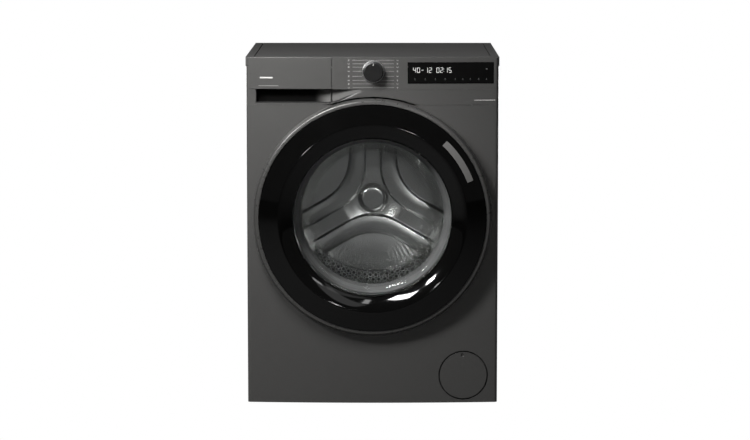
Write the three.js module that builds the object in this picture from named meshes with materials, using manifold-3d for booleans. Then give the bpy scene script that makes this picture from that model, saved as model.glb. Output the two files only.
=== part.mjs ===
// A front load washing machine, 600 mm wide and 850 mm tall, as separate pieces.
//
// Units are millimetres. +Z is up, +X is to the right seen from the front, and +Y runs from front to back.
// The origin is on the floor, at the middle of the machine's box. Two groups carry the pieces.
// The cabinet group's Y is the depth behind the worktop's front corners, with Z from the floor.
// The axis group's Y is the same depth, with X and Z from the axis that the door, seal, tub and drum share.
import * as THREE from "three";
import { mergeVertices } from "three/addons/utils/BufferGeometryUtils.js";
import Module from "manifold-3d";

const wasm = await Module();
wasm.setup();

// ---------------------------------------------------------------- driving dimensions
const TOP_WIDTH = 600;
const HEIGHT = 850;
const TOP_FRONT = 4; // depth at which the worktop starts, just behind the control panel
const TOP_REAR = 533;
const TOP_THICK = 22;
const HALF = 298.5; // half of the cabinet's width
const BOW = 12; // how far the front bulges at its middle
const CORNER = 8; // roll of the front's upright edges
const SHEET = 1.2; // steel sheet
const PLASTIC = 2.5; // moulded wall
const GAP = 0.3; // between pieces that touch
const SEAM = 0.8; // seam you can see between two outer pieces
const LIFT = 22; // underside of the cabinet above the floor
const RETURN = 22; // how far the front's sides reach back

const AXIS_Z = 470; // height of the door and drum axis
const DOOR_REACH = 52; // how far the door stands in front of the worktop's edge
const REAR_REACH = 548; // depth of the water inlet's thread end
const FRONT_Y = (DOOR_REACH - REAR_REACH) / 2; // puts the origin at the middle of the box

const SPLIT_Z = 737; // seam between front panel and control panel
const BAND_Z = 774; // crease under the drawer front
const FASCIA_TOP = 848.5;
const DRAWER_SEAM_X = -96;
const CHEEK_X = -295.5; // the control panel's narrow cheek to the left of the drawer

const RING_R = 283;
const COVER_R = 269.4;
const LIP_R = 224; // foremost line of the door's black cover, where its rim turns in to the funnel
const WINDOW_R = 186.5; // small end of the funnel that leads in to the glass
const WINDOW_Y = 22; // depth of the funnel's end
const FUNNEL_DEPTH = 45; // depth of its curved part
const MOUTH_R = 206; // opening in the front panel
const ARCH_R = 286.5; // arch of the control panel over the door
const HINGE = { x: -275, y: -22 };
const LATCH_ANGLE = THREE.MathUtils.degToRad(15);
const LATCH_PIVOT = { u: 246, y: -20 };

const DRUM_R = 240;
const DRUM_FRONT = 78;
const DRUM_BACK = 386;
const TUB_R = 256;
const TUB_FRONT = 62;
const TUB_JOIN = 214;
const TUB_BACK = 434;
const PULLEY_R = 150;
const PULLEY_Y = [462, 480];
const MOTOR = { x: 95, z: -315, r: 62, pulley: 10.5 };

const KNOB = { x: 2, z: 816, r: 24 };
const DISPLAY = { x0: 83, x1: 287, z0: 787, z1: 838 };
const RECESS = { x0: -274.5, x1: -99, z0: 742, z1: 773.4 };
const TRAY = { x0: -270, x1: -112, y0: 6, y1: 214, z0: 782, z1: 820 };
const FILTER = { x: 217, z: 88, r: 58 };
const FOOT = { x: 250, front: 130, rear: 480, r: 20, pad: 12 };
const SPRING = { x: 232, y: 262, z0: 654, z1: 802, coil: 12, wire: 2.2, turns: 5 };
const DAMPER = { x: 180, y: 262, r: 16, rod: 5 };
const BRACE_Z = 805;
const HOSE_Y = 176; // depth of the hose from the drawer's housing to the tub

const ROUND = 30; // sides of the large round pieces
const SMALL = 16;
const FLAT = Math.cos(Math.PI / ROUND); // a large round piece's flats, against the radius of its corners

// ---------------------------------------------------------------- shapes
/** A manifold-3d solid of a closed three.js geometry, whichever way its faces point. */
function solid(geometry) {
  const loose = (geometry.index ? geometry.toNonIndexed() : geometry).clone();
  loose.deleteAttribute("normal");
  loose.deleteAttribute("uv");
  const merged = mergeVertices(loose, 1e-3);
  const corners = merged.index.array;
  const kept = [];
  for (let i = 0; i < corners.length; i += 3) {
    const [a, b, c] = corners.slice(i, i + 3);
    if (a !== b && b !== c && c !== a) kept.push(a, b, c);
  }
  const build = (triangles) =>
    new wasm.Manifold(
      new wasm.Mesh({
        numProp: 3,
        vertProperties: merged.attributes.position.array,
        triVerts: new Uint32Array(triangles),
      }),
    );
  const made = build(kept);
  return made.volume() > 0 ? made : build(kept.toReversed());
}

const box = (x0, x1, y0, y1, z0, z1) =>
  solid(
    new THREE.BoxGeometry(x1 - x0, y1 - y0, z1 - z0).translate((x0 + x1) / 2, (y0 + y1) / 2, (z0 + z1) / 2),
  );

/** A round bar along the depth. */
const rodY = (r, y0, y1, x = 0, z = 0, sides = SMALL) =>
  solid(new THREE.CylinderGeometry(r, r, y1 - y0, sides).translate(x, (y0 + y1) / 2, z));

/** An upright round bar. */
const rodZ = (r, z0, z1, x = 0, y = 0, sides = SMALL) =>
  solid(new THREE.CylinderGeometry(r, r, z1 - z0, sides).rotateX(Math.PI / 2).translate(x, y, (z0 + z1) / 2));

const vectors = (points) => points.map(([x, y]) => new THREE.Vector2(x, y));

/** A body turned about the depth axis. Points are [radius, depth], and close unless they end on the axis. */
function turned(points, sides = ROUND) {
  const onAxis = points[0][0] === 0 && points.at(-1)[0] === 0;
  return solid(new THREE.LatheGeometry(vectors(onAxis ? points : [...points, points[0]]), sides));
}

/** The same about an upright axis at x, y: points are [radius, height]. */
const turnedUpright = (points, x, y, sides = SMALL) =>
  turned(points, sides).rotate([90, 0, 0]).translate(x, y, 0);

/** A plan outline [x, depth] raised from z0 to z1. */
const raised = (points, z0, z1) =>
  solid(
    new THREE.ExtrudeGeometry(new THREE.Shape(vectors(points)), {
      depth: z1 - z0,
      bevelEnabled: false,
    }).translate(0, 0, z0),
  );

/** A front outline [x, z], or a THREE.Shape, drawn out from depth y0 to y1. */
const drawnBack = (outline, y0, y1) =>
  solid(
    new THREE.ExtrudeGeometry(Array.isArray(outline) ? new THREE.Shape(vectors(outline)) : outline, {
      depth: y1 - y0,
      bevelEnabled: false,
      curveSegments: SMALL,
    })
      .rotateX(Math.PI / 2)
      .translate(0, y1, 0),
  );

const join = (first, ...rest) => rest.reduce((made, next) => made.add(next), first);
const cut = (first, ...rest) => rest.reduce((made, next) => made.subtract(next), first);

/** Depth of the bowed front at x. */
const bowAt = (x) => -BOW * (1 - (x / HALF) ** 2);

/** Half of the front's plan line, from the middle to the end of its side return, inset by the wall. */
function frontLine(inset, steps = 8) {
  const side = HALF - inset;
  const start = side - CORNER;
  const points = Array.from({ length: steps + 1 }, (_, i) => {
    const x = (start * i) / steps;
    return [x, bowAt(x) + inset];
  });
  const [, y] = points.at(-1);
  for (const turn of [0.35, 0.7, 1]) {
    const a = (turn * Math.PI) / 2;
    points.push([start + CORNER * Math.sin(a), y + CORNER * (1 - Math.cos(a))]);
  }
  points.push([side, RETURN]);
  return points;
}

/** The front's bowed skin with its rolled edges and side returns. */
function frontSkin(wall, z0, z1) {
  const mirror = (line) => line.slice(1).map(([x, y]) => [-x, y]).reverse();
  const outside = frontLine(0);
  const inside = frontLine(wall);
  const front = [...mirror(outside), ...outside];
  const back = [...mirror(inside), ...inside].reverse();
  return raised([...front, ...back], z0, z1);
}

/** A plate that follows the bow between two x values, set back from the front's line. */
function bowedPlate(x0, x1, z0, z1, setBack, thick, steps = 6) {
  const line = (y) =>
    Array.from({ length: steps + 1 }, (_, i) => {
      const x = x0 + ((x1 - x0) * i) / steps;
      return [x, bowAt(x) + y];
    });
  return raised([...line(setBack), ...line(setBack + thick).reverse()], z0, z1);
}

// ---------------------------------------------------------------- materials
const material = (color, roughness, metalness = 0) =>
  new THREE.MeshStandardMaterial({ color, roughness, metalness });

const paint = material(0x4b4b49, 0.45, 0.6);
const satinPlastic = material(0x4e4e4c, 0.45, 0.3);
const ringPaint = material(0x5a5a58, 0.35, 0.7);
const glossBlack = material(0x0b0b0c, 0.06);
const mattBlack = material(0x151515, 0.6);
const steel = material(0x9a9c9c, 0.3, 1);
const drumSteel = material(0xa6a9a9, 0.22, 1);
const castAluminium = material(0x8d9092, 0.5, 1);
const glass = material(0xdfe6e4, 0.02);
const rubber = material(0x6d6f6e, 0.75);
const darkRubber = material(0x1d1d1d, 0.8);
const tubPlastic = material(0xb9bab5, 0.6);
const concrete = material(0x8c8a84, 0.95);
const whitePlastic = material(0xdcdcd8, 0.45);
const circuit = material(0x23462f, 0.5);

// ---------------------------------------------------------------- groups
const machine = new THREE.Group();
const cabinet = new THREE.Group();
cabinet.position.set(0, FRONT_Y, 0);
const axis = new THREE.Group();
axis.position.set(0, FRONT_Y, AXIS_Z);
const latch = new THREE.Group(); // X is outwards from the axis at the latch's angle
latch.rotation.y = -LATCH_ANGLE;
axis.add(latch);
machine.add(cabinet, axis);

/** Adds a solid to a group as a named mesh. */
function place(group, name, body, look) {
  const { numProp, vertProperties, numVert, triVerts } = body.getMesh();
  const corners = new Float32Array(numVert * 3);
  for (let i = 0; i < numVert; i++) corners.set(vertProperties.subarray(i * numProp, i * numProp + 3), i * 3);
  const geometry = new THREE.BufferGeometry();
  geometry.setAttribute("position", new THREE.BufferAttribute(corners, 3));
  geometry.setIndex(new THREE.BufferAttribute(triVerts, 1));
  geometry.computeVertexNormals();
  const mesh = new THREE.Mesh(geometry, look);
  mesh.name = name;
  group.add(mesh);
  return mesh;
}

/** A solid of the latch group's frame, turned into the axis group's frame. */
const atLatch = (x0, x1, y0, y1, halfWidth) =>
  solid(
    new THREE.BoxGeometry(x1 - x0, y1 - y0, 2 * halfWidth)
      .translate((x0 + x1) / 2, (y0 + y1) / 2, 0)
      .rotateY(-LATCH_ANGLE),
  );

const SIDES = [
  ["left", -1],
  ["right", 1],
];

// ---------------------------------------------------------------- casing
/** Side sheets: a plate with a narrow return at its front and back edge. */
function sidePanels() {
  const front = RETURN + 1;
  const rear = 530;
  const fold = 18;
  for (const [name, s] of SIDES) {
    const inner = HALF - SHEET;
    const plan = [
      [HALF, front],
      [HALF, rear],
      [HALF - fold, rear],
      [HALF - fold, rear - SHEET],
      [inner, rear - SHEET],
      [inner, front + SHEET],
      [HALF - fold, front + SHEET],
      [HALF - fold, front],
    ];
    const body = raised(plan.map(([x, y]) => [s * x, y]), LIFT, HEIGHT - TOP_THICK - GAP);
    place(cabinet, `side_panel_${name}`, body, paint);
  }
}

/** Back sheet with its round service opening, its cover, and what passes through the sheet. */
function rear() {
  const front = 530 + GAP;
  const sheet = cut(
    box(-294, 294, front, front + SHEET, LIFT + 8, HEIGHT - TOP_THICK - 2),
    rodY(170, front - 1, front + 3, 0, AXIS_Z, ROUND),
    rodY(15, front - 1, front + 3, -220, 790),
    rodY(11, front - 1, front + 3, 230, 780),
  );
  place(cabinet, "rear_panel", sheet, paint);

  const seat = front + SHEET + GAP;
  const cover = turned([
    [0, seat - 7],
    [150, seat - 7],
    [160, seat + SHEET],
    [182, seat + SHEET],
    [182, seat],
    [161, seat],
    [151, seat - 7 - SHEET],
    [0, seat - 7 - SHEET],
  ]);
  place(axis, "rear_access_cover", cover, paint);

  const valve = join(
    box(-242, -198, 486, front - GAP, 768, 812),
    rodY(13.2, front - 1, REAR_REACH, -220, 790),
    rodZ(9, 752, 770, -220, 506),
    rodY(16, 470, 488, -220, 790),
  );
  place(cabinet, "water_inlet_valve", cut(valve, rodY(8, 534, REAR_REACH + 1, -220, 790)), whitePlastic);

  const gland = join(
    rodY(15, front - 12, front - GAP, 230, 780),
    rodY(10.6, front - 1, 536, 230, 780),
    rodY(14, front + SHEET + GAP, 538, 230, 780),
  );
  place(cabinet, "cable_gland", cut(gland, rodY(4.5, 500, 545, 230, 780)), darkRubber);
}

/** Floor tray, cross brace and worktop. */
function frame() {
  const feet = SIDES.flatMap(([, s]) =>
    [FOOT.front, FOOT.rear].map((y) => rodZ(5.6, LIFT - 1, 40, s * FOOT.x, y)),
  );
  const tray = cut(box(-295, 295, 26, 527, LIFT, 44), box(-292, 292, 29, 524, LIFT + 4, 45), ...feet);
  place(cabinet, "base_tray", tray, mattBlack);

  const wide = HALF - SHEET - GAP;
  const brace = cut(
    box(-wide, wide, 244, 284, BRACE_Z, HEIGHT - TOP_THICK - GAP),
    box(-wide - 1, wide + 1, 247, 281, BRACE_Z - 1, HEIGHT - TOP_THICK - 4),
  );
  place(cabinet, "top_brace", brace, steel);

  const edge = TOP_WIDTH / 2;
  const shoulder = HALF - CORNER - 4;
  const front = Array.from({ length: 13 }, (_, i) => {
    const x = -shoulder + (shoulder * i) / 6;
    return [x, bowAt(x) + PLASTIC + SEAM];
  });
  const corners = [
    [shoulder, TOP_FRONT],
    [edge, TOP_FRONT],
    [edge, TOP_REAR],
    [-edge, TOP_REAR],
    [-edge, TOP_FRONT],
    [-shoulder, TOP_FRONT],
  ];
  place(cabinet, "worktop", raised([...front, ...corners], HEIGHT - TOP_THICK, HEIGHT), satinPlastic);
}

/** The turning feet, which screw out of the tray. */
function feet() {
  const spots = [
    ["front", FOOT.front],
    ["rear", FOOT.rear],
  ];
  for (const [side, s] of SIDES) {
    for (const [end, y] of spots) {
      const foot = turnedUpright(
        [
          [0, 0],
          [FOOT.r, 0],
          [FOOT.r, FOOT.pad - 4],
          [9, FOOT.pad],
          [9, LIFT - 3],
          [5, LIFT - 3],
          [5, 58],
          [0, 58],
        ],
        0,
        0,
      );
      const mesh = place(cabinet, `foot_${end}_${side}`, foot, darkRubber);
      mesh.position.set(s * FOOT.x, y, 0);
    }
  }
}

/** Front sheet with the door's mouth, the latch slot and the filter's round opening. */
function frontPanel() {
  const slot = atLatch(209, 236, -20, 10, 10).translate(0, 0, AXIS_Z);
  const skin = cut(
    frontSkin(SHEET, LIFT, SPLIT_Z - GAP),
    rodY(MOUTH_R, -20, 10, 0, AXIS_Z, ROUND),
    rodY(FILTER.r + 0.4, -20, 10, FILTER.x, FILTER.z, 40),
    slot,
  );
  place(cabinet, "front_panel", skin, paint);
}

// ---------------------------------------------------------------- control panel
function controlPanel() {
  const scoop = drawnBack(
    [
      [RECESS.x0, RECESS.z0],
      [RECESS.x1, RECESS.z0],
      [-66, 757],
      [-36, 765],
      [-14, RECESS.z1],
      [RECESS.x0, RECESS.z1],
    ],
    -20,
    10,
  );
  const skin = cut(
    frontSkin(PLASTIC, SPLIT_Z, FASCIA_TOP),
    box(CHEEK_X, DRAWER_SEAM_X, -30, 60, BAND_Z - GAP, 860),
    box(-310, 310, TOP_FRONT - GAP, 60, HEIGHT - TOP_THICK - 1, 860),
    rodY(ARCH_R, -30, 60, 0, AXIS_Z, 96),
    box(DISPLAY.x0, DISPLAY.x1, -30, 20, DISPLAY.z0, DISPLAY.z1),
    rodY(8, -30, 10, KNOB.x, KNOB.z),
    scoop,
  );
  place(cabinet, "control_panel", skin, satinPlastic);

  const pocket = cut(
    box(RECESS.x0 - 2, RECESS.x1 + 2, 1.4, 26, RECESS.z0 - 2.2, BAND_Z - 1),
    box(RECESS.x0, RECESS.x1, -1, 24, RECESS.z0, BAND_Z + 1),
  );
  place(cabinet, "drawer_handle_recess", pocket, mattBlack);

  const window = bowedPlate(DISPLAY.x0 + 0.4, DISPLAY.x1 - 0.4, DISPLAY.z0 + 0.4, DISPLAY.z1 - 0.4, 0.4, 2);
  place(cabinet, "display_window", window, glossBlack);
  place(cabinet, "control_board", box(78, 278, 6, 30, 780, 824), circuit);

  const selector = join(
    rodY(16, -6, 14, KNOB.x, KNOB.z - 4),
    rodY(3, -26, -5, KNOB.x, KNOB.z, 12),
    box(KNOB.x - 22, KNOB.x + 22, 8, 16, 790, 824),
  );
  place(cabinet, "program_selector", selector, whitePlastic);

  const knob = turned(
    [
      [0, -28],
      [3.3, -28],
      [3.3, -13],
      [KNOB.r, -13],
      [KNOB.r, -30.5],
      [KNOB.r - 2, -32.4],
      [0, -32.4],
    ],
    24,
  );
  place(cabinet, "program_knob", knob, glossBlack).position.set(KNOB.x, 0, KNOB.z);
}

/** Detergent drawer: its front, its tray with three compartments, and the housing that it slides in. */
function drawer() {
  const front = cut(
    frontSkin(PLASTIC, BAND_Z + 0.5, FASCIA_TOP),
    box(DRAWER_SEAM_X - SEAM, 310, -30, 60, 700, 860),
    box(-310, CHEEK_X + SEAM, -30, 60, 700, 860),
    box(-310, 310, TOP_FRONT - GAP, 60, HEIGHT - TOP_THICK - 1, 860),
  );
  const lip = bowedPlate(-268, -104, BAND_Z + 0.5, BAND_Z + 3, PLASTIC - 0.5, 5);
  place(cabinet, "drawer_front", join(front, lip), satinPlastic);

  const { x0, x1, y0, y1, z0, z1 } = TRAY;
  const wall = 2.5;
  const middle = (x0 + x1) / 2 + 14;
  const tray = cut(
    box(x0, x1, y0, y1, z0, z1),
    box(x0 + wall, middle - wall / 2, y0 + wall, y1 - 30, z0 + wall, z1 + 1),
    box(middle + wall / 2, x1 - wall, y0 + wall, 100, z0 + wall, z1 + 1),
    box(middle + wall / 2, x1 - wall, 100 + wall, y1 - 30, z0 + wall, z1 + 1),
    box(x0 + wall, x1 - wall, y1 - 30 + wall, y1 + 1, z0 + wall, z1 + 1),
  );
  place(cabinet, "drawer_tray", tray, whitePlastic);

  const air = 2;
  const housing = cut(
    join(
      box(x0 - air - wall, x1 + air + wall, 12, y1 + 14, z0 - air - wall, z1 + 5.5),
      rodZ(16, 764, z0 - air - 1, -190, HOSE_Y),
    ),
    box(x0 - air, x1 + air, 11, y1 + 11, z0 - air, z1 + 3),
    rodZ(13, 760, z0, -190, HOSE_Y),
  );
  place(cabinet, "drawer_housing", housing, tubPlastic);
}

// ---------------------------------------------------------------- door
/** The funnel's line from the rim in to the window: a quarter of an ellipse and a straight end, with a wall. */
function funnel(wall, steps = 5) {
  const narrowing = LIP_R - WINDOW_R;
  const curve = Array.from({ length: steps + 1 }, (_, i) => {
    const t = (i * Math.PI) / (2 * steps);
    const outward = FUNNEL_DEPTH * Math.sin(t);
    const back = narrowing * Math.cos(t);
    const size = Math.hypot(outward, back);
    return [
      LIP_R - narrowing * Math.sin(t) + (wall * outward) / size,
      FUNNEL_DEPTH - DOOR_REACH - FUNNEL_DEPTH * Math.cos(t) + (wall * back) / size,
    ];
  });
  return [...curve, [WINDOW_R + wall, WINDOW_Y]];
}

function door() {
  const notch = box(-295, -255, -27.5, 0, -42, 42);
  const ring = cut(
    turned([
      [RING_R, -13],
      [RING_R, -25],
      [RING_R - 4, -33],
      [COVER_R + 0.6, -35.4],
      [COVER_R + 0.6, -32.8],
      [RING_R - 5.8, -30.8],
      [RING_R - 2.5, -24],
      [RING_R - 2.5, -13],
    ]),
    notch,
  );
  place(axis, "door_outer_ring", ring, ringPaint);

  const cover = turned([
    [COVER_R, -31],
    [COVER_R, -35],
    ...funnel(0),
    ...funnel(PLASTIC).reverse(),
    [COVER_R - 3, -33.5],
    [COVER_R - 3, -31],
  ]);
  place(axis, "door_cover", cover, glossBlack);

  const bowl = turned([
    [0, 128],
    [110, 126],
    [138, 121],
    [150, 110],
    [160, 80],
    [170, 45],
    [178, 31],
    [189, 26.5],
    [189, 22.5],
    [175, 25.5],
    [166, 44],
    [156, 78],
    [146, 107.5],
    [136, 117],
    [109, 122],
    [0, 124],
  ]);
  place(axis, "door_glass", bowl, glass);

  const back = cut(
    turned([
      [279, -13.5],
      [200, -13.5],
      [200, -16.5],
      [279, -16.5],
    ]),
    box(-300, -226, -40, 0, -64, 64),
    atLatch(208, 242, -17, -13, 7),
    atLatch(236, 300, -17, -13, 44),
  );
  place(axis, "door_inner_frame", back, mattBlack);
}

/** Hinge: a bracket with its pin on the front panel, and a leaf on the door. */
function hinge() {
  const { x, y } = HINGE;
  const knuckle = 4;
  const arm = (z0, z1) =>
    join(
      rodZ(knuckle, z0, z1, x, y, 16),
      raised(
        [
          [x - 1, y + 3.5],
          [x + 3, y - 3],
          [-247, -7],
          [-257, -7],
        ],
        z0,
        z1,
      ),
    );
  const bracket = join(
    box(-262, -234, -7.3, -4.9, -58, 58),
    arm(30, 38),
    arm(-38, -30),
    rodZ(2.5, -37, 37, x, y, 16),
  );
  place(axis, "hinge_bracket", bracket, steel);

  const leaf = cut(
    join(
      rodZ(knuckle, -28, 28, x, y, 16),
      box(x + 2, -225, y - 3, y - 0.5, -28, 28),
      box(-228, -225, y - 3, -16.8, -28, 28),
      box(-228, -204, -19.6, -16.8, -54, 54),
    ),
    rodZ(2.9, -30, 30, x, y, 16),
  );
  place(axis, "hinge_leaf", leaf, steel);
}

/** Finger lever behind the door's right edge, its hook, and the lock behind the front panel. */
function latchPieces() {
  const { u, y } = LATCH_PIVOT;
  const lever = join(
    box(u + 4, 275, y - 3, y, -38, 38),
    box(271, 275, y - 3, y + 6, -38, 38),
    box(u - 4, u + 5, y - 4, y + 4, -38, -8),
    box(u - 4, u + 5, y - 4, y + 4, 8, 38),
  );
  place(latch, "door_handle", lever, mattBlack);
  const hook = join(
    box(u - 3.6, u + 3.6, y - 3.6, y + 3.6, -7.6, 7.6),
    box(218, u, y - 2.5, y + 1.5, -5, 5),
    box(218, 223, y - 2.5, 12, -5, 5),
    box(212, 220, 6, 12, -5, 5),
  );
  place(latch, "latch_hook", hook, steel);
  const lock = cut(box(208.5, 242, -2.6, 25, -34, 34), box(211, 236, -4, 23, -9, 9));
  place(latch, "door_lock", lock, whitePlastic);
}

/** Rubber seal from the front panel's mouth to the tub's neck. */
function gasket() {
  const seal = turned([
    [205.5, -4.5],
    [205.5, 24],
    [194, 38],
    [194, 60],
    [190.6, 60],
    [190.6, 48],
    [184, 46],
    [180, 58],
    [172, 65],
    [170.5, 62],
    [177, 52],
    [182, 38],
    [202, 18],
    [202, -4.5],
  ]);
  place(axis, "door_gasket", seal, rubber);
}

// ---------------------------------------------------------------- tub and drum
function tub() {
  const wall = 3.5;
  const flange = 8;
  const front = cut(
    join(
      turned([
        [186, 50],
        [189.5, 50],
        [189.5, TUB_FRONT],
        [TUB_R, TUB_FRONT],
        [TUB_R, TUB_JOIN - 7],
        [TUB_R + flange, TUB_JOIN - 7],
        [TUB_R + flange, TUB_JOIN - GAP],
        [TUB_R - wall, TUB_JOIN - GAP],
        [TUB_R - wall, TUB_FRONT + wall],
        [186, TUB_FRONT + wall],
      ]),
      rodZ(19, -236, -212, 140, 100),
      cut(rodZ(17, 150, 194, -190, HOSE_Y), rodY(TUB_R - wall, 60, 230, 0, 0, ROUND)),
    ),
    rodZ(15, -240, -200, 140, 100),
    rodZ(13, 120, 196, -190, HOSE_Y),
  );
  place(axis, "tub_front", front, tubPlastic);

  const ears = SIDES.map(([, s]) =>
    box(Math.min(s * 176, s * 244), Math.max(s * 176, s * 244), SPRING.y - 9, SPRING.y + 9, 168, 180),
  );
  const lugs = SIDES.map(([, s]) =>
    box(s * DAMPER.x - 12, s * DAMPER.x + 12, DAMPER.y - 12, DAMPER.y + 12, -196, -176),
  );
  const inside = rodY(TUB_R - wall, 200, TUB_BACK - 6, 0, 0, ROUND);
  const rear = cut(
    join(
      turned([
        [31.6, 414],
        [46, 414],
        [46, TUB_BACK - 6],
        [TUB_R - wall, TUB_BACK - 6],
        [TUB_R - wall, TUB_JOIN],
        [TUB_R + flange, TUB_JOIN],
        [TUB_R + flange, TUB_JOIN + 7],
        [TUB_R, TUB_JOIN + 7],
        [TUB_R, TUB_BACK],
        [46, TUB_BACK],
        [46, 448],
        [31.6, 448],
      ]),
      ...[...ears, ...lugs].map((piece) => cut(piece, inside)),
    ),
    box(-52, 52, TUB_BACK - 8, TUB_BACK + 2, -251, -236),
  );
  place(axis, "tub_rear", rear, tubPlastic);
  place(axis, "drum_bearing", turned([[15.4, 424], [31.2, 424], [31.2, 440], [15.4, 440]]), steel);

  const rods = SIDES.map(([, s]) => rodY(3.2, 120, 436, s * 40, -243.5, 8));
  const bend = box(-42, 42, 118, 124, -248, -243.5);
  const heater = join(...rods, bend, box(-51.6, 51.6, 427, 434, -250.6, -236.4));
  place(axis, "heater", heater, steel);
}

function counterweights() {
  const bite = rodY(TUB_R + GAP, 0, 500, 0, 0, ROUND);
  const ring = cut(
    turned([[208, 28], [247, 28], [250, 31], [250, 61.5], [208, 61.5]]),
    box(-300, 300, 0, 100, 150, 300),
  );
  place(axis, "counterweight_front", ring, concrete);
  const block = cut(box(-84, 176, 108, 204, 226, 314), bite);
  place(axis, "counterweight_top", block, concrete);
}

/** Motor under the tub, its pulley, the big pulley and the belt that joins them. */
function drive() {
  const { x, z, r } = MOTOR;
  const housing = join(
    rodY(r, 330, 448, x, z, 32),
    box(x - 58, x + 40, 344, 364, z + 30, z + 64),
    box(x - 58, x + 40, 412, 432, z + 30, z + 64),
  );
  const bite = rodY(TUB_R + 1, 300, 460, 0, 0, ROUND);
  place(axis, "motor_housing", cut(housing, bite, rodY(8, 440, 449, x, z)), castAluminium);

  const rotor = turned(
    [
      [0, 442],
      [5.5, 442],
      [5.5, PULLEY_Y[0]],
      [MOTOR.pulley + 1.5, PULLEY_Y[0]],
      [MOTOR.pulley, PULLEY_Y[0] + 1.5],
      [MOTOR.pulley, PULLEY_Y[1] - 1.5],
      [MOTOR.pulley + 1.5, PULLEY_Y[1]],
      [0, PULLEY_Y[1]],
    ],
    SMALL,
  );
  place(axis, "motor_pulley", rotor, steel).position.set(x, 0, z);

  const spokes = Array.from({ length: 5 }, (_, i) => {
    const a = (i * 2 * Math.PI) / 5;
    return rodY(36, 460, 482, 84 * Math.sin(a), 84 * Math.cos(a), 12);
  });
  const wheel = cut(
    turned([
      [12.4, PULLEY_Y[0]],
      [24, PULLEY_Y[0]],
      [24, 468],
      [140, 468],
      [140, PULLEY_Y[0]],
      [PULLEY_R, PULLEY_Y[0]],
      [PULLEY_R, PULLEY_Y[1]],
      [140, PULLEY_Y[1]],
      [140, 474],
      [12.4, 474],
    ]),
    ...spokes,
  );
  place(axis, "drum_pulley", wheel, castAluminium);

  place(axis, "drive_belt", drawnBack(beltOutline(), PULLEY_Y[0] + 3, PULLEY_Y[1] - 3), darkRubber);
}

/** The belt's closed loop round the two pulleys, as an outline with a hole. */
function beltOutline() {
  const loop = (big, small) => {
    const far = Math.hypot(MOTOR.x, MOTOR.z);
    const along = Math.atan2(MOTOR.z, MOTOR.x);
    const lean = Math.acos((big - small) / far);
    const arc = (cx, cz, r, from, to, steps) =>
      Array.from({ length: steps + 1 }, (_, i) => {
        const a = from + ((to - from) * i) / steps;
        return new THREE.Vector2(cx + r * Math.cos(a), cz + r * Math.sin(a));
      });
    return [
      ...arc(0, 0, big, along + lean, along + 2 * Math.PI - lean, 28),
      ...arc(MOTOR.x, MOTOR.z, small, along - lean, along + lean, 6),
    ];
  };
  const shape = new THREE.Shape(loop(PULLEY_R + 3.6, MOTOR.pulley + 3.6));
  shape.holes.push(new THREE.Path(loop(PULLEY_R + 0.6, MOTOR.pulley + 0.6)));
  return shape;
}

function drum() {
  const wall = 1.5;
  const shell = turned([
    [DRUM_R + wall, DRUM_FRONT],
    [DRUM_R + wall, DRUM_BACK],
    [DRUM_R, DRUM_BACK],
    [DRUM_R, DRUM_FRONT + wall],
    [174, DRUM_FRONT + wall],
    [172, DRUM_FRONT - 8],
    [174, DRUM_FRONT - 8],
    [176, DRUM_FRONT],
  ]);
  place(axis, "drum_shell", shell, drumSteel);

  const back = turned([
    [0, 371],
    [30, 371],
    [36, 378],
    [DRUM_R - GAP, 378],
    [DRUM_R - GAP, 380.5],
    [0, 380.5],
  ]);
  place(axis, "drum_back", back, drumSteel);

  const arms = Array.from({ length: 3 }, (_, i) => {
    const arm = new THREE.BoxGeometry(34, 16, 200).translate(0, 391, 118).rotateY((i * 2 * Math.PI) / 3);
    return solid(arm);
  });
  const spider = join(
    rodY(44, 382, 404, 0, 0, 32),
    rodY(15, 400, 452, 0, 0, 24),
    rodY(12, 450, 492, 0, 0, 24),
    ...arms,
  );
  place(axis, "drum_spider", spider, castAluminium);

  // Three lifters, evenly spaced, each a pressed ridge that is hollow towards the drum's wall.
  const seat = Math.sqrt((DRUM_R * FLAT - GAP) ** 2 - 50 ** 2);
  const ridge = (inset, base) => [
    [-50 + inset, base],
    [-30 + inset, 188 + inset],
    [-18 + inset, 174 + inset],
    [18 - inset, 174 + inset],
    [30 - inset, 188 + inset],
    [50 - inset, base],
  ];
  for (let i = 0; i < 3; i++) {
    const front = DRUM_FRONT + 14;
    const body = cut(drawnBack(ridge(0, seat), front, 376), drawnBack(ridge(3, seat + 1), front + 2, 374));
    const lifter = place(axis, `drum_lifter_${i + 1}`, body, drumSteel);
    lifter.rotation.y = (i * 2 * Math.PI) / 3;
  }
}

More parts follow.
